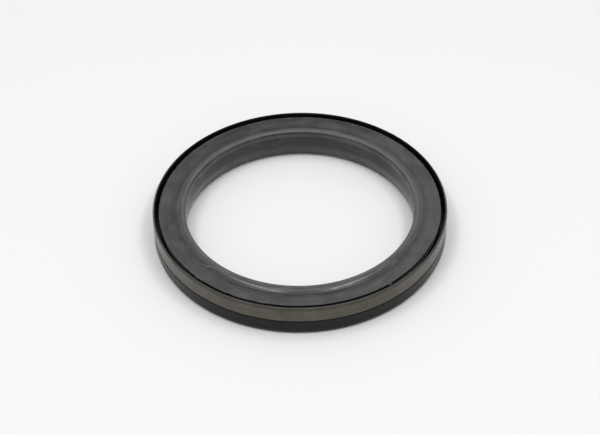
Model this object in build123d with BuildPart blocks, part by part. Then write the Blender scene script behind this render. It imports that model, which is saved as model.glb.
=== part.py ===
"""Unitised radial shaft seal for a 110 mm shaft and a 140 mm housing bore, 16 mm wide.

The seal lies on its nose with the oil side down. Z = 0 is the nose face, and +Z is the axis
that the outer ring and the inner ring share. Every piece is a body of revolution, so its
section is drawn in the XZ plane, with X as the radius, and turned about Z.

The outer ring is a steel case with a moulded rubber lip element and a garter spring. The
inner ring is a steel wear sleeve with a moulded rubber lining, and it turns in the outer ring.
"""

import os

from build123d import *

# Overall size, in millimetres
shaft_radius = 55.0
section_height = 15.0
seal_width = 16.0

# Steel case of the outer ring
case_wall = 1.2
case_bend = 0.6
band_height = 8.4
band_step = 1.0
nose_width = 5.6
web_gap = 0.9
web_reach = 2.6
rim_outer_chamfer = 0.55
rim_inner_chamfer = 0.45

# Rubber moulded on the case
cover_height = 7.3
cover_shoulder = 0.45
nose_skin = 0.9
nose_lead_in = 0.85
nose_lead_in_height = 1.8
pocket_skin = 0.8
web_skin = 0.8

# Sealing lips
lip_clearance = 0.06
lip_height = 3.8
lip_head_cap = 0.1
lip_head_thickness = 3.65
lip_oil_side = 1.4
lip_foot_chamfer = 0.4
lip_knee_rise = 0.1
lip_knee_radius_gap = 1.7
lip_neck_inset = 0.9
lip_root_inset = 1.1
dust_lip_rise = 2.1
dust_lip_tip = 0.35
face_lip_radius_gap = 7.9
face_lip_clearance = 0.1
face_lip_lean = 2.3
face_lip_base = 1.4
face_lip_tip = 0.35
lip_bite = 0.4

# Roundings of the moulded rubber
small_rounding = 0.1
lip_rounding = 0.2
skin_rounding = 0.3
corner_rounding = 0.5

# Garter spring
spring_radius = 1.1
spring_clearance = 0.03
spring_rise = 0.4
spring_seat_depth = 0.28

# Steel wear sleeve of the inner ring
sleeve_wall = 1.0
sleeve_bend = 0.6
sleeve_foot_height = 0.9
sleeve_foot_reach = 1.8
flange_drop = 2.1
flange_margin = 0.95

# Rubber moulded on the sleeve
lining_wall = 1.2
lining_foot = 0.55
lining_entry = 1.5
lining_entry_height = 1.65
lining_foot_margin = 0.2
face_drop = 0.55
face_edge_rounding = 0.4
running_gap = 1.65
wrap_under = 0.6
wrap_reach = 0.5

# Shape of the rubber face beside the bore
crest_drop = 0.05
crest_inset = 1.2
crest_width = 1.3
crest_inner_rounding = 0.9
crest_outer_rounding = 0.8
valley_radius_gap = 4.4
valley_depth = 0.7
valley_rounding = 1.0
valley_reach = 2.8
valley_shoulder = 3.0
bore_edge_drop = 0.4
bore_edge_rounding = 0.35

# Shallow groove under the bore's edge
bore_groove_radius = 0.3
bore_groove_drop = 0.5

# Radii of the case and of the sleeve
housing_radius = shaft_radius + section_height
case_inner_radius = housing_radius - case_wall
step_radius = housing_radius - band_step
pocket_radius = housing_radius - nose_width
pocket_skin_radius = pocket_radius - pocket_skin
web_edge_radius = pocket_radius - web_reach
body_edge_radius = web_edge_radius - web_skin
sleeve_inner_radius = shaft_radius + lining_wall
running_radius = sleeve_inner_radius + sleeve_wall
face_edge_radius = case_inner_radius - running_gap
flange_edge_radius = face_edge_radius - flange_margin

# Main lip and garter spring
lip_tip_radius = running_radius + lip_clearance
lip_head_radius = lip_tip_radius + lip_head_thickness
lip_foot_height = lip_height - lip_oil_side
spring_centre_radius = lip_head_radius - spring_seat_depth
spring_height = lip_height + spring_rise
spring_top = spring_height + spring_radius

# Heights of the web above the spring, of the ground band and of the flange
web_under = spring_top + web_gap
web_height = web_under + web_skin
web_top = web_height + case_wall
body_top = web_top + web_skin
band_bottom = seal_width - band_height
flange_top = seal_width - flange_drop
flange_under = flange_top - sleeve_wall
face_height = seal_width - face_drop


def rounded_outline(*corners):
    """Add a closed outline to the current line, from (radius, height, rounding) corners."""
    points = [(radius, height) for radius, height, _ in corners]
    roundings = [rounding for _, _, rounding in corners]
    FilletPolyline(points, radius=roundings, close=True)


# Outer case: drawn strip with a ground band, a joggle, a hooked nose and an inward web
outer_bend = case_bend + case_wall
with BuildPart() as outer_case:
    with BuildSketch(Plane.XZ):
        with BuildLine():
            FilletPolyline(
                (housing_radius, seal_width),
                (housing_radius, band_bottom),
                (step_radius, band_bottom - band_step),
                (step_radius, nose_skin),
                (pocket_radius, nose_skin),
                (pocket_radius, web_height),
                (web_edge_radius, web_height),
                radius=[outer_bend, case_bend, outer_bend, outer_bend, case_bend],
            )
            offset(amount=case_wall, side=Side.RIGHT, kind=Kind.INTERSECTION)
        make_face()
    revolve(axis=Axis.Z)
    rim_edges = outer_case.edges().group_by(Axis.Z)[-1].sort_by(SortBy.RADIUS)
    chamfer(rim_edges[0], rim_inner_chamfer)
    chamfer(rim_edges[-1], rim_outer_chamfer)

# Lip element: rubber body around the hooked nose and the web, with three lips
cover_top = cover_height + cover_shoulder
lip_root_radius = body_edge_radius - lip_root_inset
lip_knee_radius = running_radius + lip_knee_radius_gap
with BuildPart() as lip_element:
    # Body: nose cover, pocket skin and web skin in one outline, with the case inside it
    with BuildSketch(Plane.XZ):
        with BuildLine():
            rounded_outline(
                (pocket_skin_radius, 0, skin_rounding),
                (housing_radius - nose_lead_in, 0, skin_rounding),
                (housing_radius, nose_lead_in_height, corner_rounding),
                (housing_radius, cover_height, small_rounding),
                (housing_radius - cover_shoulder, cover_top, 0),
                (case_inner_radius, cover_top, 0),
                (case_inner_radius, body_top, 0),
                (body_edge_radius, body_top, 0),
                (body_edge_radius, web_under, 0),
                (pocket_skin_radius, web_under, corner_rounding),
            )
        make_face()
    # Main lip, hanging from the inner edge of the body towards the oil side
    with BuildSketch(Plane.XZ):
        with BuildLine():
            rounded_outline(
                (lip_root_radius, web_top, 0),
                (lip_knee_radius, web_under + lip_knee_rise, corner_rounding),
                (lip_tip_radius, lip_height, 0),
                (lip_tip_radius + lip_oil_side, lip_foot_height, lip_rounding),
                (lip_head_radius - lip_foot_chamfer, lip_foot_height, lip_rounding),
                (lip_head_radius, lip_foot_height + lip_foot_chamfer, 0),
                (lip_head_radius, spring_top + lip_head_cap, lip_rounding),
                (body_edge_radius - lip_neck_inset, web_under - lip_bite, skin_rounding),
                (body_edge_radius + web_skin, web_under, 0),
                (body_edge_radius + web_skin, web_top, 0),
            )
        make_face()
    # Dust lip, leaning on the sleeve above the main lip
    dust_lip_height = web_top + dust_lip_rise
    with BuildSketch(Plane.XZ):
        with BuildLine():
            rounded_outline(
                (lip_root_radius, web_top, 0),
                (lip_tip_radius, dust_lip_height - dust_lip_tip, 0),
                (lip_tip_radius, dust_lip_height, small_rounding),
                (lip_tip_radius + dust_lip_tip, dust_lip_height + dust_lip_tip, small_rounding),
                (body_edge_radius, body_top, 0),
                (body_edge_radius, web_top, 0),
            )
        make_face()
    # Face lip, leaning outwards to the underside of the sleeve flange
    face_lip_tip_radius = running_radius + face_lip_radius_gap
    face_lip_top = flange_under - face_lip_clearance
    face_lip_foot_radius = face_lip_tip_radius - face_lip_lean
    with BuildSketch(Plane.XZ):
        with BuildLine():
            rounded_outline(
                (face_lip_foot_radius - face_lip_base, body_top - lip_bite, 0),
                (face_lip_tip_radius - face_lip_tip, face_lip_top - face_lip_tip, 0),
                (face_lip_tip_radius, face_lip_top, small_rounding),
                (face_lip_tip_radius + face_lip_tip, face_lip_top - face_lip_tip, small_rounding),
                (face_lip_foot_radius, body_top - lip_bite, 0),
            )
        make_face()
    revolve(axis=Axis.Z)
    # Seat of the garter spring, open towards the pocket
    with BuildSketch(Plane.XZ):
        with Locations((spring_centre_radius, spring_height)):
            Circle(spring_radius + spring_clearance)
    revolve(axis=Axis.Z, mode=Mode.SUBTRACT)
    add(outer_case.part, mode=Mode.SUBTRACT)

# Garter spring: the closed ring of the coil, at its outer diameter
with BuildPart() as garter_spring:
    with BuildSketch(Plane.XZ):
        with Locations((spring_centre_radius, spring_height)):
            Circle(spring_radius)
    revolve(axis=Axis.Z)

# Wear sleeve: running cylinder with a wide flange above and a small retaining foot below
with BuildPart() as wear_sleeve:
    with BuildSketch(Plane.XZ):
        with BuildLine():
            FilletPolyline(
                (running_radius + sleeve_foot_reach, sleeve_foot_height),
                (sleeve_inner_radius, sleeve_foot_height),
                (sleeve_inner_radius, flange_top),
                (flange_edge_radius, flange_top),
                radius=sleeve_bend + sleeve_wall,
            )
            offset(amount=sleeve_wall, side=Side.RIGHT, kind=Kind.INTERSECTION)
        make_face()
    revolve(axis=Axis.Z)

# Sleeve lining: rubber in the bore, over the flange face and round the flange edge
lining_foot_height = sleeve_foot_height - lining_foot
lining_foot_radius = running_radius + sleeve_foot_reach - lining_foot_margin
foot_middle_height = sleeve_foot_height + sleeve_wall / 2
sleeve_middle_radius = sleeve_inner_radius + sleeve_wall / 2
flange_middle_height = flange_top - sleeve_wall / 2
wrap_height = flange_under - wrap_under
crest_height = seal_width - crest_drop
crest_radius = shaft_radius + crest_inset
valley_radius = shaft_radius + valley_radius_gap
bore_edge_height = crest_height - bore_edge_drop
with BuildPart() as sleeve_lining:
    with BuildSketch(Plane.XZ):
        with BuildLine():
            rounded_outline(
                (shaft_radius, lining_foot_height + lining_entry_height, skin_rounding),
                (shaft_radius + lining_entry, lining_foot_height, lip_rounding),
                (lining_foot_radius, lining_foot_height, lip_rounding),
                (lining_foot_radius, foot_middle_height, 0),
                (sleeve_middle_radius, foot_middle_height, 0),
                (sleeve_middle_radius, flange_middle_height, 0),
                (flange_edge_radius - wrap_reach, flange_middle_height, 0),
                (flange_edge_radius - wrap_reach, wrap_height, lip_rounding),
                (face_edge_radius, wrap_height, face_edge_rounding),
                (face_edge_radius, face_height, face_edge_rounding),
                (valley_radius + valley_reach, face_height, valley_shoulder),
                (valley_radius, face_height - valley_depth, valley_rounding),
                (crest_radius + crest_width, crest_height, crest_outer_rounding),
                (crest_radius, crest_height, crest_inner_rounding),
                (shaft_radius, bore_edge_height, bore_edge_rounding),
            )
        make_face()
    revolve(axis=Axis.Z)
    # Groove under the bore's edge
    with BuildSketch(Plane.XZ):
        with Locations((shaft_radius, bore_edge_height - bore_groove_drop)):
            Circle(bore_groove_radius)
    revolve(axis=Axis.Z, mode=Mode.SUBTRACT)
    add(wear_sleeve.part, mode=Mode.SUBTRACT)

# One STEP file for each piece, named after its node
os.makedirs("parts", exist_ok=True)

outer_case.part.label = "outer_case"
export_step(outer_case.part, "parts/outer_case.step")

lip_element.part.label = "lip_element"
export_step(lip_element.part, "parts/lip_element.step")

garter_spring.part.label = "garter_spring"
export_step(garter_spring.part, "parts/garter_spring.step")

wear_sleeve.part.label = "wear_sleeve"
export_step(wear_sleeve.part, "parts/wear_sleeve.step")

sleeve_lining.part.label = "sleeve_lining"
export_step(sleeve_lining.part, "parts/sleeve_lining.step")
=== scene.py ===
"""Unitised radial shaft seal lying on its nose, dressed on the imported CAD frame.

Five pieces stand for the five CAD nodes: a steel case with a ground band, the moulded lip rubber,
a garter spring, the wear sleeve and its rubber lining. Four are turned from sections that follow
those of their nodes, and the spring is wound from wire. Sizes are in millimetres and become metres
when a mesh is made.
"""

import logging
import math
from collections.abc import Callable
from dataclasses import dataclass
from enum import Enum

import bpy
import numpy as np
from mathutils import Matrix, Vector


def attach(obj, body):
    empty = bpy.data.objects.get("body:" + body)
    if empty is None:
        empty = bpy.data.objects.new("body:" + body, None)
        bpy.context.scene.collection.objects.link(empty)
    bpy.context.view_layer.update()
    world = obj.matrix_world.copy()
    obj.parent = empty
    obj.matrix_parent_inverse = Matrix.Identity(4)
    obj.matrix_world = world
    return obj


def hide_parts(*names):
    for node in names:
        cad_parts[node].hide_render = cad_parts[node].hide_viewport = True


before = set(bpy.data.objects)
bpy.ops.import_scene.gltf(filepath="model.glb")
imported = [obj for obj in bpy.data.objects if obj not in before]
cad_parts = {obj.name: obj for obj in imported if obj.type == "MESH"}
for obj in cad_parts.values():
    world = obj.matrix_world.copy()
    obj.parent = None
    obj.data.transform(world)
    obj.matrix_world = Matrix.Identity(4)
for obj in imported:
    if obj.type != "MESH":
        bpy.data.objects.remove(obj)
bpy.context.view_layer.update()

MM = 0.001

# Angles in degrees: corners above the first stay as they are, edges above the second are sharp.
NEARLY_STRAIGHT = 178.0
SHARP_EDGE = 28.0

# Radii in millimetres that round the corners of moulded rubber.
CRISP = 0.1
SLIGHT = 0.2
EASED = 0.3
SOFT = 0.5

# A sum of seeded waves is divided by this, so that it stays within about -1 to 1.
WAVE_SPREAD = 1.6

# Squared share of its reach inside which a mark on the rubber shows in full.
SCUFF_CORE = 0.2
RING_CORE = 0.1

# Colour sockets of Blender's Mix node.
MIX_FIRST, MIX_SECOND, MIX_RESULT = 6, 7, 2

logging.basicConfig(level=logging.INFO, format="%(message)s")
log = logging.getLogger("shaft_seal")

# What a step of a material takes: numbers and colours, or the sockets that carry them.
Colour = tuple[float, float, float]
Socket = bpy.types.NodeSocket
Number = float | Socket
Paint = Colour | Socket
SlotPicker = Callable[[float, float], int]


class Body(Enum):
    """The two rings that the CAD model moves."""

    OUTER = "outer_ring"
    INNER = "inner_ring"


# Sections and turned meshes


@dataclass(frozen=True)
class Corner:
    """One corner of a section, in millimetres, with the radius that rounds it."""

    r: float
    z: float
    rounding: float = 0.0


def rounded(corners: list[Corner], closed: bool = True, turn_step: float = 11.0) -> np.ndarray:
    """Round the corners of a section with arcs.

    Args:
        corners: The section's corners in order.
        closed: Whether the last corner joins the first.
        turn_step: Largest turn in degrees between two points of an arc.

    Returns:
        The points of the rounded section as rows of radius and height.
    """
    spots = np.array([(c.r, c.z) for c in corners], float)
    count = len(corners)
    points = []
    for i, corner in enumerate(corners):
        here = spots[i]
        at_end = not closed and i in (0, count - 1)
        if corner.rounding <= 0 or at_end:
            points.append(here)
            continue
        back = spots[i - 1] - here
        ahead = spots[(i + 1) % count] - here
        back /= np.linalg.norm(back)
        ahead /= np.linalg.norm(ahead)
        half = math.acos(float(np.clip(back @ ahead, -1, 1))) / 2
        if half > math.radians(NEARLY_STRAIGHT / 2):
            points.append(here)
            continue
        reach = corner.rounding / math.tan(half)
        bisector = (back + ahead) / np.linalg.norm(back + ahead)
        centre = here + bisector * corner.rounding / math.sin(half)
        start = here + back * reach - centre
        turn = math.pi - 2 * half
        side = 1.0 if start[0] * ahead[1] - start[1] * ahead[0] > 0 else -1.0
        steps = max(2, math.ceil(math.degrees(turn) / turn_step))
        for k in range(steps + 1):
            a = side * turn * k / steps
            spin = np.array([[math.cos(a), -math.sin(a)], [math.sin(a), math.cos(a)]])
            points.append(centre + spin @ start)
    return np.array(points)


def strip_sides(corners: list[Corner], wall: float, bend: float) -> tuple[np.ndarray, np.ndarray]:
    """Outline a bent steel strip from the corners of one side.

    Args:
        corners: Corners of the first side, each with its own bend radius.
        wall: Thickness of the strip, to the right of the first side.
        bend: Inside radius of every bend.

    Returns:
        The rounded points of the first side and of the second side, both in the same direction.
    """
    spots = np.array([(c.r, c.z) for c in corners], float)
    runs = np.diff(spots, axis=0)
    runs /= np.linalg.norm(runs, axis=1)[:, None]
    right = np.stack([runs[:, 1], -runs[:, 0]], axis=1) * wall
    second = [Corner(*(spots[0] + right[0]))]
    for i in range(1, len(corners) - 1):
        matrix = np.array([[runs[i - 1][0], -runs[i][0]], [runs[i - 1][1], -runs[i][1]]])
        along = np.linalg.solve(matrix, (spots[i] + right[i]) - (spots[i - 1] + right[i - 1]))
        meet = spots[i - 1] + right[i - 1] + runs[i - 1] * along[0]
        second.append(Corner(*meet, 2 * bend + wall - corners[i].rounding))
    second.append(Corner(*(spots[-1] + right[-1])))
    return rounded(corners, closed=False), rounded(second, closed=False)


def refined(section: np.ndarray, longest: float) -> np.ndarray:
    """Divide the long runs of a closed section.

    Args:
        section: Rows of radius and height.
        longest: Longest run to leave, in millimetres.

    Returns:
        The section with extra points on its long runs.
    """
    points = []
    for here, ahead in zip(section, np.roll(section, -1, axis=0)):
        parts = max(1, math.ceil(float(np.linalg.norm(ahead - here)) / longest))
        points += [here + (ahead - here) * k / parts for k in range(parts)]
    return np.array(points)


def turned(section: np.ndarray, around: int) -> np.ndarray:
    """Turn a closed section about the seal's axis.

    Args:
        section: Rows of radius and height.
        around: Number of steps in a turn.

    Returns:
        The points, in millimetres, as an array of around x section x 3.
    """
    ahead = np.roll(section, -1, axis=0)
    if np.sum(section[:, 0] * ahead[:, 1] - ahead[:, 0] * section[:, 1]) < 0:
        section = section[::-1]
    angle = np.linspace(0, 2 * math.pi, around, endpoint=False)
    r, z = section[:, 0], section[:, 1]
    x = np.cos(angle)[:, None] * r
    y = np.sin(angle)[:, None] * r
    return np.stack([x, y, np.broadcast_to(z, x.shape)], axis=-1)


def ring_piece(
    name: str,
    points: np.ndarray,
    finishes: list[bpy.types.Material],
    pick: SlotPicker | None = None,
) -> bpy.types.Object:
    """Make the mesh object of a closed ring.

    Args:
        name: Name of the object and its mesh.
        points: Its points, in millimetres, as an array of around x section x 3.
        finishes: Materials for the object's slots.
        pick: Optional function of a face's radius and height that gives its slot.

    Returns:
        The object, linked to the scene, with smooth faces and sharp corners.
    """
    around, along = points.shape[:2]
    i, j = np.meshgrid(np.arange(around), np.arange(along), indexing="ij")
    i2, j2 = (i + 1) % around, (j + 1) % along
    quads = np.stack([i * along + j, i2 * along + j, i2 * along + j2, i * along + j2], -1)
    mesh = bpy.data.meshes.new(name)
    mesh.from_pydata((points.reshape(-1, 3) * MM).tolist(), [], quads.reshape(-1, 4).tolist())
    for finish in finishes:
        mesh.materials.append(finish)
    if pick is not None:
        middle = (points[0] + np.roll(points[0], -1, axis=0)) / 2
        radius = np.hypot(middle[:, 0], middle[:, 1])
        slots = [pick(float(a), float(b)) for a, b in zip(radius, middle[:, 2])]
        mesh.polygons.foreach_set("material_index", np.tile(slots, around).astype(np.int32))
    mesh.polygons.foreach_set("use_smooth", np.ones(len(mesh.polygons), bool))
    mesh.set_sharp_from_angle(angle=math.radians(SHARP_EDGE))
    mesh.update()
    piece = bpy.data.objects.new(name, mesh)
    bpy.context.scene.collection.objects.link(piece)
    return piece


def joined(parts: list[bpy.types.Object]) -> bpy.types.Object:
    """Join several objects into the first.

    Args:
        parts: The objects, of which the first keeps its name.

    Returns:
        The joined object.
    """
    with bpy.context.temp_override(
        active_object=parts[0],
        object=parts[0],
        selected_editable_objects=parts,
        selected_objects=parts,
    ):
        bpy.ops.object.join()
    return parts[0]


def waves(angle: np.ndarray, seed: int, lowest: int, highest: int) -> np.ndarray:
    """Add up sine waves around the ring with seeded phases.

    Args:
        angle: Angles in radians.
        seed: Seed of the phases and strengths.
        lowest: Fewest waves in a turn.
        highest: Most waves in a turn.

    Returns:
        Values of about -1 to 1 at the angles.
    """
    rng = np.random.default_rng(seed)
    total = np.zeros_like(angle)
    for n in range(lowest, highest + 1):
        total += rng.normal() * np.sin(n * angle + rng.uniform(0, 2 * math.pi))
    return total / (WAVE_SPREAD * math.sqrt(highest - lowest + 1))


def shortest_turn(angle: np.ndarray, start: float) -> np.ndarray:
    """Measure the shortest turn from a start to each angle.

    Args:
        angle: Angles in radians.
        start: Where the turn starts, in radians.

    Returns:
        The turns, between minus and plus half a circle.
    """
    return np.angle(np.exp(1j * (angle - start)))


# Finishes


@dataclass(frozen=True)
class Noise:
    """A noise pattern: repeats in a metre, octaves of finer pattern, and their strength."""

    scale: float
    detail: float
    rough: float


@dataclass(frozen=True)
class Streaks:
    """A noise pattern drawn out round the ring: slow round it, and fast across it per metre."""

    around: float
    across: float
    detail: float = 3.0
    rough: float = 0.6


@dataclass(frozen=True)
class Span:
    """A span of values, and the two values that its ends are mapped to."""

    low: float
    high: float
    to_low: float = 0.0
    to_high: float = 1.0


@dataclass(frozen=True)
class Relief:
    """A bump: its depth in millimetres, and how much of it shows."""

    depth: float
    strength: float


def opaque(paint: Paint) -> Socket | tuple[float, ...]:
    """Give a plain colour its alpha, and leave a socket as it is."""
    return (*paint, 1.0) if isinstance(paint, tuple) else paint


class NodeWork:
    """Puts the nodes of one material together."""

    def __init__(self, name: str) -> None:
        """Start a material with a Principled shader.

        Args:
            name: The material's name.
        """
        self.material = bpy.data.materials.new(name)
        self.material.use_nodes = True
        self.tree = self.material.node_tree
        self.shader = self.tree.nodes["Principled BSDF"]
        self.place = self.tree.nodes.new("ShaderNodeTexCoord").outputs["Object"]

    def join(self, source: Socket | float | tuple[float, ...], target: Socket) -> None:
        """Link a socket, or set a value, on another socket.

        Args:
            source: The socket to link, or the value to set.
            target: The input socket.
        """
        if isinstance(source, Socket):
            self.tree.links.new(source, target)
        else:
            target.default_value = source

    def sum(self, operation: str, *values: Number, clamp: bool = False) -> Socket:
        """Do one step of arithmetic.

        Args:
            operation: Name of the Math node's operation.
            values: Numbers or sockets that go in.
            clamp: Whether the result stays within 0 to 1.

        Returns:
            The result's socket.
        """
        node = self.tree.nodes.new("ShaderNodeMath")
        node.operation = operation
        node.use_clamp = clamp
        for value, target in zip(values, node.inputs):
            self.join(value, target)
        return node.outputs[0]

    def plus(self, first: Number, second: Number) -> Socket:
        """Add two values."""
        return self.sum("ADD", first, second)

    def minus(self, first: Number, second: Number) -> Socket:
        """Take the second value from the first."""
        return self.sum("SUBTRACT", first, second)

    def times(self, first: Number, second: Number) -> Socket:
        """Multiply two values."""
        return self.sum("MULTIPLY", first, second)

    def over(self, first: Number, second: Number) -> Socket:
        """Divide the first value by the second."""
        return self.sum("DIVIDE", first, second)

    def squares(self, first: Number, second: Number) -> Socket:
        """Add the squares of two values."""
        return self.plus(self.times(first, first), self.times(second, second))

    def ramp(self, value: Socket, span: Span) -> Socket:
        """Map a span of values to another, smoothly and clamped.

        Args:
            value: Socket to map.
            span: The span and what its ends become.

        Returns:
            The mapped socket.
        """
        node = self.tree.nodes.new("ShaderNodeMapRange")
        node.interpolation_type = "SMOOTHSTEP"
        node.inputs["From Min"].default_value = span.low
        node.inputs["From Max"].default_value = span.high
        node.inputs["To Min"].default_value = span.to_low
        node.inputs["To Max"].default_value = span.to_high
        self.join(value, node.inputs["Value"])
        return node.outputs["Result"]

    def cloud(self, noise: Noise, at: Socket | None = None) -> Socket:
        """Make a noise pattern.

        Args:
            noise: The pattern.
            at: Coordinates to use in place of the object's own.

        Returns:
            The noise value's socket.
        """
        node = self.tree.nodes.new("ShaderNodeTexNoise")
        node.inputs["Scale"].default_value = noise.scale
        node.inputs["Detail"].default_value = noise.detail
        node.inputs["Roughness"].default_value = noise.rough
        self.join(self.place if at is None else at, node.inputs["Vector"])
        return node.outputs["Fac"]

    def parts(self) -> tuple[Socket, Socket, Socket, Socket]:
        """Take the point apart.

        Returns:
            The sockets of its x, y, z and radius.
        """
        node = self.tree.nodes.new("ShaderNodeSeparateXYZ")
        self.join(self.place, node.inputs[0])
        x, y, z = node.outputs
        return x, y, z, self.sum("SQRT", self.squares(x, y))

    def streaks(self, streaks: Streaks) -> Socket:
        """Make a noise pattern that is long round the ring and short across it.

        Args:
            streaks: The pattern.

        Returns:
            The noise value's socket.
        """
        x, y, z, radius = self.parts()
        node = self.tree.nodes.new("ShaderNodeCombineXYZ")
        self.join(self.times(self.over(x, radius), streaks.around), node.inputs[0])
        self.join(self.times(self.over(y, radius), streaks.around), node.inputs[1])
        self.join(self.times(self.plus(radius, z), streaks.across), node.inputs[2])
        return self.cloud(Noise(1.0, streaks.detail, streaks.rough), node.outputs[0])

    def spot(self, u: Socket, v: Socket, fade: Span, wear: Socket) -> Socket:
        """Make the mask of a soft mark.

        Args:
            u: Distance from the mark's middle one way, as a share of its reach.
            v: Distance the other way.
            fade: Squared distances of its edge and core, and how much shows there.
            wear: Socket that breaks the mark up.

        Returns:
            The mask's socket, 0 to 1.
        """
        return self.times(self.ramp(self.squares(u, v), fade), wear)

    def blend(self, amount: Number, first: Paint, second: Paint) -> Socket:
        """Mix two colours.

        Args:
            amount: Share of the second colour.
            first: A colour or a colour socket.
            second: A colour or a colour socket.

        Returns:
            The mixed colour's socket.
        """
        node = self.tree.nodes.new("ShaderNodeMix")
        node.data_type = "RGBA"
        self.join(amount, node.inputs["Factor"])
        self.join(opaque(first), node.inputs[MIX_FIRST])
        self.join(opaque(second), node.inputs[MIX_SECOND])
        return node.outputs[MIX_RESULT]

    def relief(self, height: Socket, relief: Relief, under: Socket | None = None) -> Socket:
        """Add a bump.

        Args:
            height: Socket of the relief's height, 0 to 1.
            relief: The relief's depth and strength.
            under: Normal socket of the relief below it.

        Returns:
            The bumped normal's socket.
        """
        node = self.tree.nodes.new("ShaderNodeBump")
        node.inputs["Distance"].default_value = relief.depth * MM
        node.inputs["Strength"].default_value = relief.strength
        self.join(height, node.inputs["Height"])
        if under is not None:
            self.join(under, node.inputs["Normal"])
        return node.outputs[0]

    def paint(
        self,
        colour: Paint,
        roughness: Number,
        normal: Socket | None = None,
        metal: float = 0.0,
    ) -> bpy.types.Material:
        """Feed the shader.

        Args:
            colour: Colour or socket.
            roughness: Number or socket.
            normal: Normal socket.
            metal: Share of metal.

        Returns:
            The finished material.
        """
        inputs = self.shader.inputs
        self.join(opaque(colour), inputs["Base Color"])
        self.join(roughness, inputs["Roughness"])
        if normal is not None:
            self.join(normal, inputs["Normal"])
        inputs["Metallic"].default_value = metal
        return self.material


@dataclass(frozen=True)
class Scuff:
    """A short mark on the rubber face: angle and lean in degrees, other sizes in millimetres."""

    angle: float
    radius: float
    long: float
    wide: float
    lean: float
    tone: Colour

    def mask(self, work: NodeWork, x: Socket, y: Socket, wear: Socket) -> Socket:
        """Make the mark's mask.

        Args:
            work: The material under way.
            x: Socket of the point's x.
            y: Socket of the point's y.
            wear: Socket that breaks the mark up.

        Returns:
            The mask's socket, 0 to 1.
        """
        a = math.radians(self.angle)
        lie = a + math.pi / 2 + math.radians(self.lean)
        dx = work.minus(x, math.cos(a) * self.radius * MM)
        dy = work.minus(y, math.sin(a) * self.radius * MM)
        along = work.plus(work.times(dx, math.cos(lie)), work.times(dy, math.sin(lie)))
        off = work.plus(work.times(dx, -math.sin(lie)), work.times(dy, math.cos(lie)))
        u = work.over(along, self.long * MM / 2)
        v = work.over(off, self.wide * MM / 2)
        return work.spot(u, v, Span(1.0, SCUFF_CORE), wear)


@dataclass(frozen=True)
class ToneRing:
    """A soft ring of painted highlight, painted shade or smoother rubber; radius and height in
    millimetres.
    """

    radius: float
    height: float
    reach: float
    rise: float
    amount: float
    tone: Colour = (0.0, 0.0, 0.0)

    def mask(self, work: NodeWork, radius: Socket, z: Socket, wear: Socket) -> Socket:
        """Make the ring's mask.

        Args:
            work: The material under way.
            radius: Socket of the point's radius.
            z: Socket of the point's height.
            wear: Socket that breaks the ring up.

        Returns:
            The mask's socket, 0 to 1.
        """
        u = work.over(work.minus(radius, self.radius * MM), self.reach * MM)
        v = work.over(work.minus(z, self.height * MM), self.rise * MM)
        return work.spot(u, v, Span(1.0, RING_CORE, 0.0, self.amount), wear)


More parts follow.
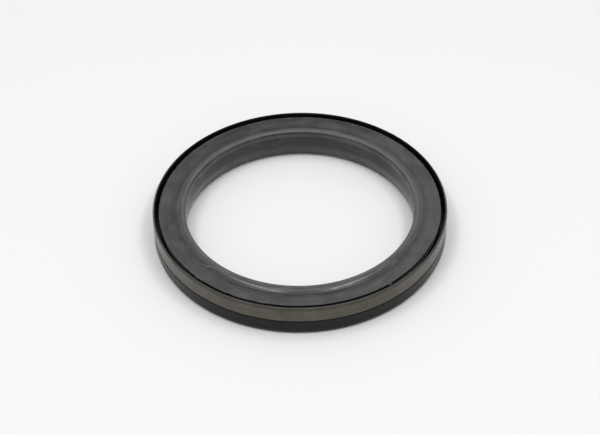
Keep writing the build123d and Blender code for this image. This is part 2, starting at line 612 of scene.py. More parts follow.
@dataclass(frozen=True)
class MouldedRubber:
    """Dark moulded rubber with a cloudy bloom, fine mould rings, scuffs, specks and painted light.

    A painted sheen makes it paler towards both sides of the ring by painted_side_sheen, and towards
    painted_sheen_angle by painted_sheen_tilt. Rings of painted highlight and painted shade, and
    scuffs, change the tone, and polishes the roughness.
    """

    name: str
    dark: Colour
    pale: Colour
    gloss: float
    sheen_rough: Span = Span(0.35, 0.65, 0.34, 0.5)
    specks: Colour = (0.16, 0.16, 0.16)
    painted_light_rings: tuple[ToneRing, ...] = ()
    scuffs: tuple[Scuff, ...] = ()
    polishes: tuple[ToneRing, ...] = ()
    painted_side_sheen: float = 0.0
    painted_sheen_tilt: float = 0.0
    painted_sheen_angle: float = 335.0
    mould_lines: Streaks = Streaks(7.0, 1900.0)
    line_share: Span = Span(0.35, 0.75, -0.08, 0.2)
    drift: Streaks = Streaks(5.0, 260.0, 4.0)
    drift_share: Span = Span(0.4, 0.7, 0.0, 0.35)
    clouds: Noise = Noise(75.0, 5.0, 0.62)
    cloud_share: Span = Span(0.36, 0.66, 0.0, 0.5)
    breaks: Streaks = Streaks(6.0, 700.0)
    break_share: Span = Span(0.3, 0.62, 0.45, 1.0)
    dust: Noise = Noise(1500.0, 1.0, 0.5)
    dust_share: Span = Span(0.735, 0.775)
    dust_strength: float = 0.7
    wear: Noise = Noise(900.0, 3.0, 0.7)
    wear_share: Span = Span(0.38, 0.58, 0.15, 1.0)
    sheen: Noise = Noise(120.0, 4.0, 0.6)
    waviness: Noise = Noise(110.0, 3.0, 0.5)
    wave_relief: Relief = Relief(0.18, 0.5)
    grain: Noise = Noise(2600.0, 2.0, 0.5)
    fine_relief: Relief = Relief(0.02, 0.5)

    def bloom_and_painted_sheen(self, work: NodeWork, lines: Socket) -> Socket:
        """Spread the pale bloom and the painted sheen over the rubber.

        Args:
            work: The material under way.
            lines: Socket of the fine rings from the mould.

        Returns:
            The socket of the pale rubber's share, bloom and painted sheen together.
        """
        x, y, _, radius = work.parts()
        across, along = work.over(x, radius), work.over(y, radius)
        lie = math.radians(self.painted_sheen_angle)
        clouds = work.ramp(work.cloud(self.clouds), self.cloud_share)
        drift = work.ramp(work.streaks(self.drift), self.drift_share)
        amount = work.plus(clouds, drift)
        # Painted sheen: paler towards painted_sheen_angle and towards both sides of the ring.
        amount = work.plus(amount, work.times(across, self.painted_sheen_tilt * math.cos(lie)))
        amount = work.plus(amount, work.times(along, self.painted_sheen_tilt * math.sin(lie)))
        amount = work.plus(amount, work.times(work.times(across, across), self.painted_side_sheen))
        return work.sum("ADD", amount, work.ramp(lines, self.line_share), clamp=True)

    def material(self) -> bpy.types.Material:
        """Make the node material.

        Returns:
            The finished material.
        """
        work = NodeWork(self.name)
        x, y, z, radius = work.parts()
        lines = work.streaks(self.mould_lines)
        breaks = work.ramp(work.streaks(self.breaks), self.break_share)
        colour = work.blend(self.bloom_and_painted_sheen(work, lines), self.dark, self.pale)
        # Rings of painted highlight and painted shade.
        for ring in self.painted_light_rings:
            colour = work.blend(ring.mask(work, radius, z, breaks), colour, ring.tone)
        dust = work.ramp(work.cloud(self.dust), self.dust_share)
        colour = work.blend(work.times(dust, self.dust_strength), colour, self.specks)
        wear = work.ramp(work.cloud(self.wear), self.wear_share)
        for scuff in self.scuffs:
            colour = work.blend(scuff.mask(work, x, y, wear), colour, scuff.tone)
        rough = work.ramp(work.cloud(self.sheen), self.sheen_rough)
        for polish in self.polishes:
            rough = work.times(rough, work.minus(1.0, polish.mask(work, radius, z, breaks)))
        normal = work.relief(work.cloud(self.waviness), self.wave_relief)
        normal = work.relief(lines, self.fine_relief, normal)
        normal = work.relief(work.cloud(self.grain), self.fine_relief, normal)
        work.shader.inputs["Specular IOR Level"].default_value = self.gloss
        return work.paint(colour, rough, normal)


@dataclass(frozen=True)
class GroundSteel:
    """Steel ground in a lathe: fine lines round the ring, soft stains, and a painted shade near the
    rim.
    """

    name: str
    tone: Colour
    stain: Colour
    rough: Span
    painted_shade: Colour | None = None
    painted_shade_from: float = 13.4
    painted_shade_to: float = 15.5
    lines: Streaks = Streaks(10.0, 5200.0, 4.0, 0.65)
    line_relief: Relief = Relief(0.012, 0.7)
    broad: Streaks = Streaks(6.0, 420.0)
    broad_share: Span = Span(0.4, 0.7, 0.0, 0.4)
    patches: Noise = Noise(90.0, 4.0, 0.6)
    patch_share: Span = Span(0.38, 0.68, 0.0, 0.6)

    def material(self) -> bpy.types.Material:
        """Make the node material.

        Returns:
            The finished material.
        """
        work = NodeWork(self.name)
        lines = work.streaks(self.lines)
        patches = work.ramp(work.cloud(self.patches), self.patch_share)
        broad = work.ramp(work.streaks(self.broad), self.broad_share)
        colour = work.blend(work.sum("ADD", patches, broad, clamp=True), self.tone, self.stain)
        # Painted shade: the band is blended darker towards its top edge.
        if self.painted_shade is not None:
            _, _, z, _ = work.parts()
            near_rim = work.ramp(z, Span(self.painted_shade_from * MM, self.painted_shade_to * MM))
            colour = work.blend(work.times(near_rim, near_rim), colour, self.painted_shade)
        normal = work.relief(lines, self.line_relief)
        return work.paint(colour, work.ramp(lines, self.rough), normal, metal=1.0)


@dataclass(frozen=True)
class PhosphateCoat:
    """Black phosphate on drawn steel, with a fine crystal grain."""

    name: str
    dark: Colour
    pale: Colour
    gloss: float = 0.12
    drift: Noise = Noise(140.0, 4.0, 0.6)
    drift_share: Span = Span(0.35, 0.7)
    crystals: Noise = Noise(3200.0, 3.0, 0.6)
    crystal_relief: Relief = Relief(0.02, 0.7)
    rough: Span = Span(0.3, 0.7, 0.5, 0.68)

    def material(self) -> bpy.types.Material:
        """Make the node material.

        Returns:
            The finished material.
        """
        work = NodeWork(self.name)
        crystals = work.cloud(self.crystals)
        drift = work.ramp(work.cloud(self.drift), self.drift_share)
        colour = work.blend(drift, self.dark, self.pale)
        normal = work.relief(crystals, self.crystal_relief)
        work.shader.inputs["Specular IOR Level"].default_value = self.gloss
        return work.paint(colour, work.ramp(crystals, self.rough), normal)


@dataclass(frozen=True)
class StudioPaper:
    """Plain pale paper for the floor, which can't be seen from below."""

    name: str
    tone: Colour
    rough: float = 0.9

    def material(self) -> bpy.types.Material:
        """Make the node material.

        Returns:
            The finished material.
        """
        work = NodeWork(self.name)
        work.paint(self.tone, self.rough)
        work.shader.inputs["Specular IOR Level"].default_value = 0.0
        clear = work.tree.nodes.new("ShaderNodeBsdfTransparent")
        side = work.tree.nodes.new("ShaderNodeNewGeometry").outputs["Backfacing"]
        mix = work.tree.nodes.new("ShaderNodeMixShader")
        work.join(side, mix.inputs[0])
        work.join(work.shader.outputs[0], mix.inputs[1])
        work.join(clear.outputs[0], mix.inputs[2])
        work.join(mix.outputs[0], work.tree.nodes["Material Output"].inputs["Surface"])
        return work.material


# Pieces


@dataclass(frozen=True)
class SealSizes:
    """Main sizes of the seal, in millimetres, which every piece is given."""

    shaft_radius: float = 55.0
    housing_radius: float = 70.0
    seal_width: float = 16.0
    case_wall: float = 1.2
    case_bend: float = 0.6
    pocket_radius: float = 64.4
    web_edge_radius: float = 61.8
    web_height: float = 7.0
    body_edge_radius: float = 61.0
    body_top: float = 9.0
    lip_tip_radius: float = 57.26
    lip_head_radius: float = 60.91
    spring_radius: float = 1.1
    spring_centre_radius: float = 60.63
    spring_height: float = 4.2
    running_radius: float = 57.2
    sleeve_wall: float = 1.0
    flange_edge_radius: float = 66.2
    flange_top: float = 13.9
    sleeve_foot_height: float = 0.9
    sleeve_foot_radius: float = 59.0

    @property
    def sleeve_inner_radius(self) -> float:
        """Inside radius of the wear sleeve."""
        return self.running_radius - self.sleeve_wall


class CaseSlot(Enum):
    """Material slots of the steel case."""

    COAT = 0
    BAND = 1
    RIM = 2


@dataclass
class SteelCase:
    """Drawn steel case with a ground band and rim, and black phosphate elsewhere, made near black
    as painted shade in the gap inside the rim.
    """

    sizes: SealSizes
    band_bottom: float = 7.6
    band_step: float = 1.0
    nose_skin: float = 0.9
    rim_outer_chamfer: float = 0.55
    rim_inner_chamfer: float = 0.45
    ground_foot: float = 7.95
    ground_depth: float = 0.3
    slot_margin: float = 0.02
    longest_run: float = 1.5
    around: int = 540

    def section(self) -> np.ndarray:
        """Outline the strip with its rim chamfers.

        Returns:
            The closed section as rows of radius and height.
        """
        s = self.sizes
        outside = s.case_bend + s.case_wall
        step = s.housing_radius - self.band_step
        first, second = strip_sides(
            [
                Corner(s.housing_radius, s.seal_width),
                Corner(s.housing_radius, self.band_bottom, outside),
                Corner(step, self.band_bottom - self.band_step, s.case_bend),
                Corner(step, self.nose_skin, outside),
                Corner(s.pocket_radius, self.nose_skin, outside),
                Corner(s.pocket_radius, s.web_height, s.case_bend),
                Corner(s.web_edge_radius, s.web_height),
            ],
            s.case_wall,
            s.case_bend,
        )
        top = s.seal_width
        inside = s.housing_radius - s.case_wall
        outer = [
            (s.housing_radius - self.rim_outer_chamfer, top),
            (s.housing_radius, top - self.rim_outer_chamfer),
        ]
        inner = [
            (inside, top - self.rim_inner_chamfer),
            (inside + self.rim_inner_chamfer, top),
        ]
        return np.vstack([outer, first[1:], second[::-1][:-1], inner])

    def slot_at(self, radius: float, height: float) -> int:
        """Choose the finish of a face.

        Args:
            radius: Radius of the face's middle.
            height: Height of the face's middle.

        Returns:
            The number of its material slot.
        """
        s = self.sizes
        rim_foot = s.seal_width - self.rim_outer_chamfer + self.slot_margin
        rim_inside = s.housing_radius - s.case_wall + self.rim_inner_chamfer + self.slot_margin
        if height > rim_foot and radius > rim_inside:
            return CaseSlot.RIM.value
        if radius > s.housing_radius - self.ground_depth and height > self.ground_foot:
            return CaseSlot.BAND.value
        return CaseSlot.COAT.value

    def finishes(self) -> list[bpy.types.Material]:
        """Make the case's materials.

        Returns:
            The materials in the order of CaseSlot.
        """
        # Black phosphate made near black, which also paints the shade in the narrow gap inside the
        # rim.
        coat = PhosphateCoat("black_phosphate_painted_shade", (0.003, 0.003, 0.0032), (0.006, 0.006, 0.006))
        band = GroundSteel(
            "ground_band",
            tone=(0.088, 0.085, 0.067),
            stain=(0.128, 0.117, 0.100),
            rough=Span(0.3, 0.7, 0.22, 0.34),
            # Painted shade on the band, darker towards the rim.
            painted_shade=(0.050, 0.048, 0.038),
        )
        # Paler steel on the rim: partly its bare cut steel, partly a painted highlight on the
        # chamfer.
        rim = GroundSteel(
            "rim_edge_painted_highlight",
            tone=(0.118, 0.114, 0.100),
            stain=(0.160, 0.152, 0.136),
            rough=Span(0.3, 0.7, 0.30, 0.45),
        )
        return [coat.material(), band.material(), rim.material()]

    def build(self) -> bpy.types.Object:
        """Turn the case and dress it.

        Returns:
            The case, riding on the outer ring.
        """
        points = turned(refined(self.section(), self.longest_run), self.around)
        piece = ring_piece("steel_case_pressing", points, self.finishes(), self.slot_at)
        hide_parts("outer_case")
        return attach(piece, Body.OUTER.value)


@dataclass
class LipMoulding:
    """Rubber moulded round the case's nose and web, with the main, dust and face lips.

    The lips are sections of their own, whose roots sink into the body by the sizes named after
    the roots. The joined mesh shows one moulding.
    """

    sizes: SealSizes
    nose_lead_in: float = 0.85
    nose_lead_in_height: float = 1.8
    cover_height: float = 7.3
    cover_shoulder: float = 0.45
    skin: float = 0.8
    lip_height: float = 3.8
    lip_oil_side: float = 1.4
    lip_foot_chamfer: float = 0.4
    lip_back: float = 1.7
    neck_inset: float = 0.9
    neck_drop: float = 0.4
    seat_clearance: float = 0.03
    seat_reach: float = 76.0
    seat_step: float = 8.0
    seat_edge: float = 0.08
    root_reach: float = 1.1
    root_sink: float = 0.3
    root_overlap: float = 0.1
    dust_lip_height: float = 10.3
    dust_lip_tip: float = 0.35
    face_lip_radius: float = 65.1
    face_lip_top: float = 12.8
    face_lip_tip: float = 0.35
    face_lip_lean: float = 2.3
    face_lip_base: float = 1.4
    face_lip_sink: float = 0.4
    longest_run: float = 2.0
    around: int = 432

    def body_section(self) -> np.ndarray:
        """Outline the nose cover, the web skins and the two hidden edges.

        Returns:
            The closed section as rows of radius and height.
        """
        s = self.sizes
        pocket = s.pocket_radius - self.skin
        hidden = s.housing_radius - s.case_wall / 2
        cover_top = self.cover_height + self.cover_shoulder
        web_under = s.web_height - self.skin
        return rounded([
            Corner(pocket, 0, EASED),
            Corner(s.housing_radius - self.nose_lead_in, 0, EASED),
            Corner(s.housing_radius, self.nose_lead_in_height, SOFT),
            Corner(s.housing_radius, self.cover_height, CRISP),
            Corner(s.housing_radius - self.cover_shoulder, cover_top),
            Corner(hidden, cover_top),
            Corner(hidden, s.body_top),
            Corner(s.body_edge_radius, s.body_top),
            Corner(s.body_edge_radius, web_under),
            Corner(pocket, web_under, SOFT),
        ])

    def main_lip_section(self) -> np.ndarray:
        """Outline the main lip with the seat of the garter spring.

        Returns:
            The closed section as rows of radius and height.
        """
        s = self.sizes
        web_under = s.web_height - self.skin
        web_top = s.web_height + s.case_wall
        foot = self.lip_height - self.lip_oil_side
        seat = s.spring_radius + self.seat_clearance
        seat_end = self.seat_reach + self.seat_step / 2
        turn = np.radians(np.arange(-self.seat_reach, seat_end, self.seat_step))
        hollow = [
            Corner(
                s.spring_centre_radius - seat * math.cos(a),
                s.spring_height + seat * math.sin(a),
            )
            for a in turn
        ]
        return rounded([
            Corner(s.body_edge_radius - self.root_reach, web_top),
            Corner(s.running_radius + self.lip_back, web_under + self.root_overlap, SOFT),
            Corner(s.lip_tip_radius, self.lip_height),
            Corner(s.lip_tip_radius + self.lip_oil_side, foot, SLIGHT),
            Corner(s.lip_head_radius - self.lip_foot_chamfer, foot, SLIGHT),
            Corner(s.lip_head_radius, foot + self.lip_foot_chamfer),
            *hollow,
            Corner(
                s.lip_head_radius,
                s.spring_height + s.spring_radius + self.root_overlap,
                self.seat_edge,
            ),
            Corner(s.body_edge_radius - self.neck_inset, web_under - self.neck_drop, EASED),
            Corner(s.body_edge_radius + self.skin, web_under + self.root_sink),
            Corner(s.body_edge_radius + self.skin, web_top),
        ])

    def dust_lip_section(self) -> np.ndarray:
        """Outline the dust lip above the main lip.

        Returns:
            The closed section as rows of radius and height.
        """
        s = self.sizes
        tip = self.dust_lip_tip
        root = s.web_height + s.case_wall - self.root_overlap
        inside = s.body_edge_radius + self.root_sink
        return rounded([
            Corner(s.body_edge_radius - self.root_reach, root),
            Corner(s.lip_tip_radius, self.dust_lip_height - tip),
            Corner(s.lip_tip_radius, self.dust_lip_height, CRISP),
            Corner(s.lip_tip_radius + tip, self.dust_lip_height + tip, CRISP),
            Corner(inside, s.body_top - self.root_overlap),
            Corner(inside, root),
        ])

    def face_lip_section(self) -> np.ndarray:
        """Outline the face lip under the sleeve's flange.

        Returns:
            The closed section as rows of radius and height.
        """
        tip = self.face_lip_tip
        foot = self.face_lip_radius - self.face_lip_lean
        root = self.sizes.body_top - self.face_lip_sink
        return rounded([
            Corner(foot - self.face_lip_base, root),
            Corner(self.face_lip_radius - tip, self.face_lip_top - tip),
            Corner(self.face_lip_radius, self.face_lip_top, CRISP),
            Corner(self.face_lip_radius + tip, self.face_lip_top - tip, CRISP),
            Corner(foot, root),
        ])

    def build(self) -> bpy.types.Object:
        """Turn the four sections, join them in one piece and dress it.

        Returns:
            The moulding, riding on the outer ring.
        """
        rubber = MouldedRubber(
            "nose_rubber",
            dark=(0.0024, 0.0014, 0.0011),
            pale=(0.0062, 0.0044, 0.0040),
            gloss=0.25,
            sheen_rough=Span(0.35, 0.65, 0.22, 0.34),
            specks=(0.05, 0.05, 0.05),
        ).material()
        sections = {
            "lip_rubber_moulding": self.body_section(),
            "main_lip": self.main_lip_section(),
            "dust_lip": self.dust_lip_section(),
            "face_lip": self.face_lip_section(),
        }
        parts = []
        for name, section in sections.items():
            points = turned(refined(section, self.longest_run), self.around)
            parts.append(ring_piece(name, points, [rubber]))
        piece = joined(parts)
        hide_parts("lip_element")
        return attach(piece, Body.OUTER.value)


@dataclass
class GarterCoil:
    """Garter spring wound from wire in a closed ring."""

    sizes: SealSizes
    wire: float = 0.5
    pitch_in_wires: float = 1.02
    points_a_turn: int = 14
    sides: int = 6

    def skin(self) -> np.ndarray:
        """Wind the wire.

        Returns:
            The points of the wire's skin, in millimetres, as an array of along x sides x 3.
        """
        s = self.sizes
        coil = s.spring_radius - self.wire / 2
        turns = int(2 * math.pi * s.spring_centre_radius / (self.wire * self.pitch_in_wires))
        count = turns * self.points_a_turn
        around = np.linspace(0, 2 * math.pi, count, endpoint=False)
        twist = around * turns
        out = np.stack([np.cos(around), np.sin(around), np.zeros(count)], -1)
        up = np.array([0.0, 0.0, 1.0])
        radial = out * np.cos(twist)[:, None] + up * np.sin(twist)[:, None]
        centre = out * s.spring_centre_radius + up * s.spring_height + radial * coil
        ahead = np.roll(centre, -1, axis=0) - np.roll(centre, 1, axis=0)
        ahead /= np.linalg.norm(ahead, axis=1)[:, None]
        side = np.cross(ahead, radial)
        side /= np.linalg.norm(side, axis=1)[:, None]
        lift = np.cross(side, ahead)
        turn = np.linspace(0, 2 * math.pi, self.sides, endpoint=False)
        lifted = lift[:, None, :] * np.cos(turn)[None, :, None]
        ring = lifted + side[:, None, :] * np.sin(turn)[None, :, None]
        return centre[:, None, :] + ring * self.wire / 2

    def build(self) -> bpy.types.Object:
        """Wind the spring and dress it.

        Returns:
            The spring, riding on the outer ring.
        """
        steel = GroundSteel(
            "spring_wire",
            tone=(0.42, 0.42, 0.41),
            stain=(0.30, 0.30, 0.29),
            rough=Span(0.3, 0.7, 0.22, 0.34),
        ).material()
        piece = ring_piece("garter_coil", self.skin(), [steel])
        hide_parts("garter_spring")
        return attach(piece, Body.OUTER.value)


@dataclass
class WearSleeve:
    """Steel sleeve that the lips run on, with its flange and foot."""

    sizes: SealSizes
    bend: float = 0.6
    longest_run: float = 1.5
    around: int = 432

    def section(self) -> np.ndarray:
        """Outline the bent strip.

        Returns:
            The closed section as rows of radius and height.
        """
        s = self.sizes
        outside = self.bend + s.sleeve_wall
        first, second = strip_sides(
            [
                Corner(s.sleeve_foot_radius, s.sleeve_foot_height),
                Corner(s.sleeve_inner_radius, s.sleeve_foot_height, outside),
                Corner(s.sleeve_inner_radius, s.flange_top, outside),
                Corner(s.flange_edge_radius, s.flange_top),
            ],
            s.sleeve_wall,
            self.bend,
        )
        return np.vstack([first, second[::-1]])

    def build(self) -> bpy.types.Object:
        """Turn the sleeve and dress it.

        Returns:
            The sleeve, riding on the inner ring.
        """
        steel = GroundSteel(
            "running_steel",
            tone=(0.46, 0.45, 0.44),
            stain=(0.38, 0.37, 0.36),
            rough=Span(0.3, 0.7, 0.18, 0.30),
        ).material()
        points = turned(refined(self.section(), self.longest_run), self.around)
        piece = ring_piece("wear_sleeve_pressing", points, [steel])
        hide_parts("wear_sleeve")
        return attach(piece, Body.INNER.value)


@dataclass(frozen=True)
class EdgeMark:
    """A place on the face's edge that departs from a true circle.

    Its angle is in degrees, its reach in millimetres and its half width in radians.
    """

    angle: float
    reach: float
    half_width: float
    steepness: int = 4

    def departure(self, angle: np.ndarray) -> np.ndarray:
        """Work out the mark's size round the ring.

        Args:
            angle: Angles of the points in radians.

        Returns:
            The departure at each point, in millimetres.
        """
        gap = shortest_turn(angle, math.radians(self.angle))
        return self.reach * np.exp(-((gap / self.half_width) ** self.steepness))


@dataclass(frozen=True)
class MouldedFace:
    """How the rubber face departs from its turned section, as moulded and trimmed rubber does.

    The edge is ragged, more so near the torn place, and has nicks, bits of flash, a stretch that
    is drawn in and a fuller one. The crest of the ridge wanders in height. Places are angles in
    degrees, half widths are in radians and other sizes in millimetres.
    """

    edge_foot: float = 14.2
    edge_fade: float = 0.8
    edge_from: float = 66.6
    edge_width: float = 0.5
    deepest_nick: float = 0.3
    torn_all_round: float = 0.05
    torn: EdgeMark = EdgeMark(232.0, 0.09, 0.4, 2)
    ragged_seed: int = 4
    ragged_waves: tuple[int, int] = (30, 110)
    ragged_drop: float = 0.7
    nick_seed: int = 11
    nick_count: int = 16
    nick_places: tuple[float, ...] = (212.0, 214.0, 217.0, 219.0, 293.0)
    nick_depth: tuple[float, float] = (0.05, 0.22)
    nick_half_width: tuple[float, float] = (0.006, 0.016)
    flash: tuple[EdgeMark, ...] = (
        EdgeMark(306.6, 1.05, 0.010),
        EdgeMark(224.3, 0.55, 0.004),
        EdgeMark(225.7, 0.40, 0.005),
        EdgeMark(227.0, 0.60, 0.003),
    )
    drawn_in: EdgeMark = EdgeMark(325.0, 0.38, 0.28)
    fuller: EdgeMark = EdgeMark(236.0, 0.16, 0.30)
    crest_radius: float = 56.9
    crest_reach: float = 1.2
    crest_seed: int = 21
    crest_waves: tuple[int, int] = (2, 7)
    crest_wander: float = 0.05
    crest_drop: float = 0.9
    crest_lowest: float = 1.4

    def nicks(self, angle: np.ndarray) -> np.ndarray:
        """Cut seeded nicks in the edge.

        Args:
            angle: Angles of the points in radians.

        Returns:
            The depth of the nicks at each point, in millimetres.
        """
        rng = np.random.default_rng(self.nick_seed)
        places = list(rng.uniform(-math.pi, math.pi, self.nick_count))
        places += [math.radians(place) for place in self.nick_places]
        depth = np.zeros_like(angle)
        for place in places:
            gap = shortest_turn(angle, place)
            deep = rng.uniform(*self.nick_depth)
            depth += deep * np.exp(-((gap / rng.uniform(*self.nick_half_width)) ** 2))
        return depth

    def applied(self, points: np.ndarray) -> np.ndarray:
        """Move the turned points of the face.

        Args:
            points: Turned points of the lining's section.

        Returns:
            The moved points.
        """
        angle = np.arctan2(points[..., 1], points[..., 0])
        radius = np.hypot(points[..., 0], points[..., 1])
        height = points[..., 2].copy()
        top = np.clip((height - self.edge_foot) / self.edge_fade, 0, 1)
        near_edge = np.clip((radius - self.edge_from) / self.edge_width, 0, 1) * top
        torn = self.torn_all_round + self.torn.departure(angle)
        ragged = torn * (waves(angle, self.ragged_seed, *self.ragged_waves) - self.ragged_drop)
        cut = np.clip(ragged - self.nicks(angle), -self.deepest_nick, 0)
        flash = sum(mark.departure(angle) for mark in self.flash)
        drawn_in = self.drawn_in.departure(angle)
        fuller = self.fuller.departure(angle)
        radius = radius + near_edge * (cut + flash + fuller - drawn_in)
        crest = np.exp(-(((radius - self.crest_radius) / self.crest_reach) ** 2)) * top
        wander = waves(angle, self.crest_seed, *self.crest_waves) - self.crest_drop
        height = height + crest * self.crest_wander * wander.clip(-self.crest_lowest, 0)
        return np.stack([np.cos(angle) * radius, np.sin(angle) * radius, height], -1)


@dataclass
class SleeveLining:
    """Rubber in the bore, over the flange and round its edge, with a ridge and groove in its face.

    The bore stands proud of the shaft's size and swells between its two ends.
    """

    sizes: SealSizes
    foot_height: float = 0.35
    foot_radius: float = 58.8
    entry: float = 1.5
    entry_height: float = 1.65
    face_edge_radius: float = 67.15
    face_height: float = 15.45
    face_rounding: float = 0.4
    wrap_height: float = 12.3
    wrap_reach: float = 0.5
    crest_height: float = 15.95
    crest_inset: float = 1.2
    crest_width: float = 1.45
    crest_rounding: float = 3.6
    crest_inner_rounding: float = 0.7
    valley_radius: float = 59.25
    valley_depth: float = 0.7
    valley_reach: float = 2.8
    valley_rounding: float = 1.0
    valley_edge_rounding: float = 3.0
    bore_proud: float = 0.4
    bore_edge_drop: float = 0.5
    bore_groove_drop: float = 0.5
    bore_groove_radius: float = 0.3
    bore_groove_points: int = 13
    swell: float = 1.0
    swell_height: float = 7.2
    swell_top: float = 11.6
    swell_rounding: float = 5.0
    longest_run: float = 1.2
    around: int = 720
    face: MouldedFace = MouldedFace()
    # Rings of painted highlight and painted shade on the lining's face and bore.
    painted_light_rings: tuple[ToneRing, ...] = (
        # Painted shade in the valley of the face.
        ToneRing(59.6, 14.8, 1.8, 1.3, 0.32, (0.016, 0.016, 0.017)),
        # Painted highlight on the crest.
        ToneRing(56.25, 15.8, 1.0, 0.7, 0.48, (0.112, 0.113, 0.115)),
        # Painted highlight on the crest's outer slope.
        ToneRing(57.9, 15.6, 1.0, 0.9, 0.55, (0.085, 0.087, 0.088)),
        # Painted highlight along the face's rounded outer edge.
        ToneRing(66.5, 15.4, 1.3, 0.9, 0.55, (0.088, 0.089, 0.091)),
        # Painted light on the rise outside the valley.
        ToneRing(62.6, 15.4, 1.3, 0.6, 0.25, (0.060, 0.061, 0.063)),
        # Painted highlight on the bore's edge.
        ToneRing(55.6, 15.75, 1.1, 0.45, 0.65, (0.130, 0.132, 0.134)),
        # Painted highlight on the bead below the bore's edge.
        ToneRing(54.7, 13.5, 0.7, 1.3, 0.60, (0.062, 0.063, 0.064)),
        # Painted shade on the middle of the bore.
        ToneRing(54.5, 9.0, 1.0, 3.6, 0.9, (0.009, 0.0092, 0.0095)),
        # A dark painted line of shade round the bore, below the bead.
        ToneRing(54.7, 11.9, 0.8, 0.5, 0.95, (0.002, 0.002, 0.0022)),
        # Painted light near the foot of the bore, as if lit from the floor below.
        ToneRing(54.2, 3.9, 1.1, 2.2, 0.5, (0.058, 0.059, 0.060)),
    )
    polishes: tuple[ToneRing, ...] = (
        ToneRing(58.1, 15.5, 1.7, 1.5, 0.58),
        ToneRing(54.2, 6.0, 1.6, 6.0, 0.60),
    )
    scuffs: tuple[Scuff, ...] = (
        Scuff(314.7, 57.0, 5.0, 0.40, 69.0, (0.15, 0.15, 0.15)),
        Scuff(316.2, 58.7, 5.2, 0.45, 14.5, (0.17, 0.17, 0.17)),
        Scuff(311.4, 61.2, 6.1, 0.45, 36.4, (0.17, 0.17, 0.17)),
        Scuff(318.2, 58.5, 2.7, 0.35, 39.6, (0.17, 0.17, 0.17)),
        Scuff(201.8, 62.8, 2.0, 0.40, 68.0, (0.008, 0.008, 0.008)),
        Scuff(216.6, 55.7, 2.0, 0.8, 0.0, (0.19, 0.22, 0.19)),
        Scuff(334.4, 62.3, 0.5, 0.5, 0.0, (0.36, 0.36, 0.36)),
        Scuff(334.0, 63.7, 0.35, 0.35, 0.0, (0.30, 0.30, 0.30)),
        Scuff(247.3, 66.3, 0.6, 0.35, 0.0, (0.42, 0.42, 0.42)),
        Scuff(220.6, 59.5, 8.0, 0.40, 12.0, (0.13, 0.135, 0.13)),
        Scuff(223.8, 58.6, 9.0, 0.45, 12.5, (0.16, 0.165, 0.16)),
        Scuff(228.0, 57.0, 8.0, 0.35, 12.5, (0.14, 0.145, 0.14)),
        Scuff(232.8, 56.6, 8.4, 0.45, 13.0, (0.18, 0.185, 0.18)),
        Scuff(228.0, 60.6, 6.0, 0.35, 10.0, (0.11, 0.11, 0.11)),
        Scuff(225.5, 66.8, 3.6, 0.45, 0.0, (0.20, 0.20, 0.20)),
        Scuff(236.0, 66.9, 2.4, 0.4, 0.0, (0.20, 0.20, 0.20)),
        Scuff(254.0, 66.6, 4.0, 0.6, 3.0, (0.17, 0.17, 0.17)),
        Scuff(262.0, 66.2, 3.0, 0.5, -4.0, (0.14, 0.14, 0.14)),
        Scuff(212.0, 66.9, 2.2, 0.4, 0.0, (0.18, 0.18, 0.18)),
        Scuff(286.0, 63.0, 7.0, 2.6, -5.0, (0.070, 0.070, 0.071)),
        Scuff(303.0, 63.5, 8.0, 3.0, 8.0, (0.075, 0.075, 0.076)),
        Scuff(345.0, 64.0, 9.0, 3.6, 20.0, (0.080, 0.080, 0.081)),
    )

    def section(self) -> np.ndarray:
        """Outline the lining, with its hidden edge inside the steel sleeve.

        Returns:
            The closed section as rows of radius and height.
        """
        s = self.sizes
        middle = s.sleeve_inner_radius + s.sleeve_wall / 2
        foot_middle = s.sleeve_foot_height + s.sleeve_wall / 2
        flange_middle = s.flange_top - s.sleeve_wall / 2
        wrap = s.flange_edge_radius - self.wrap_reach
        crest = s.shaft_radius + self.crest_inset
        bore = s.shaft_radius - self.bore_proud
        bore_edge = self.crest_height - self.bore_edge_drop
        groove = bore_edge - self.bore_groove_drop
        half_turn = np.radians(np.linspace(90.0, -90.0, self.bore_groove_points))
        hollow = [
            Corner(
                bore + self.bore_groove_radius * math.cos(a),
                groove + self.bore_groove_radius * math.sin(a),
            )
            for a in half_turn
        ]
        return rounded([
            Corner(bore, self.swell_top, self.swell_rounding),
            Corner(s.shaft_radius - self.swell, self.swell_height, self.swell_rounding),
            Corner(s.shaft_radius, self.foot_height + self.entry_height, EASED),
            Corner(s.shaft_radius + self.entry, self.foot_height, SLIGHT),
            Corner(self.foot_radius, self.foot_height, SLIGHT),
            Corner(self.foot_radius, foot_middle),
            Corner(middle, foot_middle),
            Corner(middle, flange_middle),
            Corner(wrap, flange_middle),
            Corner(wrap, self.wrap_height, SLIGHT),
            Corner(self.face_edge_radius, self.wrap_height, self.face_rounding),
            Corner(self.face_edge_radius, self.face_height, self.face_rounding),
            Corner(
                self.valley_radius + self.valley_reach,
                self.face_height,
                self.valley_edge_rounding,
            ),
            Corner(
                self.valley_radius,
                self.face_height - self.valley_depth,
                self.valley_rounding,
            ),
            Corner(crest + self.crest_width, self.crest_height, self.crest_rounding),
            Corner(crest, self.crest_height, self.crest_inner_rounding),
            Corner(bore, bore_edge, EASED),
            *hollow,
        ])

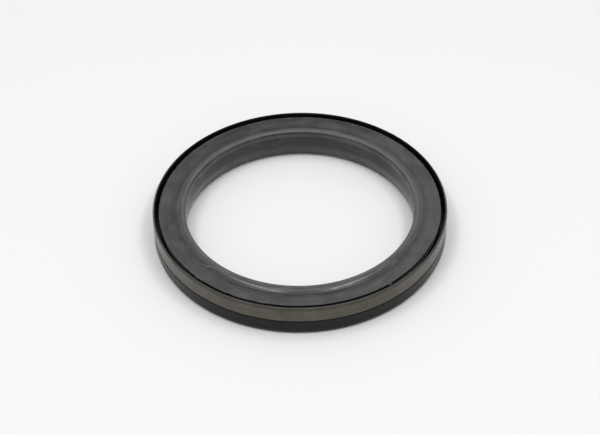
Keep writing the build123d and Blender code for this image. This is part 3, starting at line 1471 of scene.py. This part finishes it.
    def build(self) -> bpy.types.Object:
        """Turn the lining and dress it.

        Returns:
            The lining, riding on the inner ring.
        """
        rubber = MouldedRubber(
            "lining_rubber",
            dark=(0.016, 0.0162, 0.017),
            pale=(0.072, 0.073, 0.074),
            gloss=0.48,
            painted_light_rings=self.painted_light_rings,
            scuffs=self.scuffs,
            polishes=self.polishes,
            # Painted sheen: paler towards both sides and towards the near right of the ring.
            painted_side_sheen=0.44,
            painted_sheen_tilt=0.13,
        ).material()
        points = turned(refined(self.section(), self.longest_run), self.around)
        piece = ring_piece("sleeve_lining_moulding", self.face.applied(points), [rubber])
        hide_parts("sleeve_lining")
        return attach(piece, Body.INNER.value)


# Studio


@dataclass(frozen=True)
class Softbox:
    """One soft lamp, in metres and watts."""

    name: str
    place: tuple[float, float, float]
    size: tuple[float, float]
    power: float

    def hang(self) -> bpy.types.Object:
        """Make the lamp and turn it to the seal.

        Returns:
            The lamp's object.
        """
        lamp = bpy.data.lights.new(self.name, "AREA")
        lamp.shape = "RECTANGLE"
        lamp.size, lamp.size_y = self.size
        lamp.energy = self.power
        softbox = bpy.data.objects.new(self.name, lamp)
        softbox.location = self.place
        softbox.rotation_euler = Vector(self.place).to_track_quat("Z", "Y").to_euler()
        bpy.context.scene.collection.objects.link(softbox)
        return softbox


@dataclass(frozen=True)
class Studio:
    """Pale floor, soft light and the camera at the photograph's angle.

    Places are in metres and angles in radians, and the lens and sensor in millimetres.
    """

    paper: Colour = (0.91, 0.91, 0.91)
    floor_half: float = 3.0
    sky: float = 0.51
    softboxes: tuple[Softbox, ...] = (
        Softbox("left_softbox", (-0.34, -0.19, 1.0), (0.50, 0.11), 1.98),
        Softbox("right_softbox", (0.37, -0.19, 1.0), (0.50, 0.11), 1.90),
        Softbox("back_softbox", (0.0, 0.20, 1.05), (0.90, 0.25), 0.80),
        Softbox("overhead_softbox", (0.0, 0.0, 1.25), (1.30, 1.10), 3.4),
    )
    camera_place: tuple[float, float, float] = (-0.00248772, -0.6182207, 0.5687332)
    pitch: float = 0.73707
    yaw: float = 0.00401
    roll: float = -0.01672
    lens: float = 104.575
    sensor: float = 36.0
    nearest: float = 0.01
    farthest: float = 20.0

    def floor(self) -> bpy.types.Object:
        """Lay the floor under the seal.

        Returns:
            The floor, which is part of the stage.
        """
        mesh = bpy.data.meshes.new("studio_floor")
        half = self.floor_half
        corners = [(-half, -half, 0), (half, -half, 0), (half, half, 0), (-half, half, 0)]
        mesh.from_pydata(corners, [], [(0, 1, 2, 3)])
        mesh.materials.append(StudioPaper("studio_paper", self.paper).material())
        floor = bpy.data.objects.new("studio_floor", mesh)
        bpy.context.scene.collection.objects.link(floor)
        return floor

    def lights(self) -> None:
        """Hang the softboxes and light the room evenly."""
        for softbox in self.softboxes:
            softbox.hang()
        world = bpy.data.worlds.new("studio_room")
        world.use_nodes = True
        sky = world.node_tree.nodes["Background"]
        sky.inputs["Strength"].default_value = self.sky
        sky.inputs["Color"].default_value = (1.0, 1.0, 1.0, 1.0)
        bpy.context.scene.world = world

    def camera(self) -> bpy.types.Object:
        """Set the camera up where the photograph was taken from.

        Returns:
            The camera, made the scene's own.
        """
        data = bpy.data.cameras.new("studio_camera")
        data.sensor_fit = "HORIZONTAL"
        data.sensor_width = self.sensor
        data.lens = self.lens
        data.clip_start = self.nearest
        data.clip_end = self.farthest
        look = np.array([
            math.sin(self.yaw) * math.cos(self.pitch),
            math.cos(self.yaw) * math.cos(self.pitch),
            -math.sin(self.pitch),
        ])
        level = np.array([math.cos(self.yaw), -math.sin(self.yaw), 0.0])
        upright = np.cross(level, look)
        right = math.cos(self.roll) * level + math.sin(self.roll) * upright
        up = -math.sin(self.roll) * level + math.cos(self.roll) * upright
        rows = [[right[k], up[k], -look[k], self.camera_place[k]] for k in range(3)]
        camera = bpy.data.objects.new("studio_camera", data)
        camera.matrix_world = Matrix([*rows, [0, 0, 0, 1]])
        bpy.context.scene.collection.objects.link(camera)
        bpy.context.scene.camera = camera
        return camera

    def set_up(self) -> None:
        """Put up floor, lights and camera."""
        self.floor()
        self.lights()
        self.camera()
        bpy.context.scene.view_settings.view_transform = "Standard"


def main() -> None:
    """Build every piece in order and report it."""
    sizes = SealSizes()
    for part in (SteelCase, LipMoulding, GarterCoil, WearSleeve, SleeveLining):
        piece = part(sizes).build()
        log.info("%s: %d faces", piece.name, len(piece.data.polygons))
    Studio().set_up()


if __name__ == "__main__":
    main()
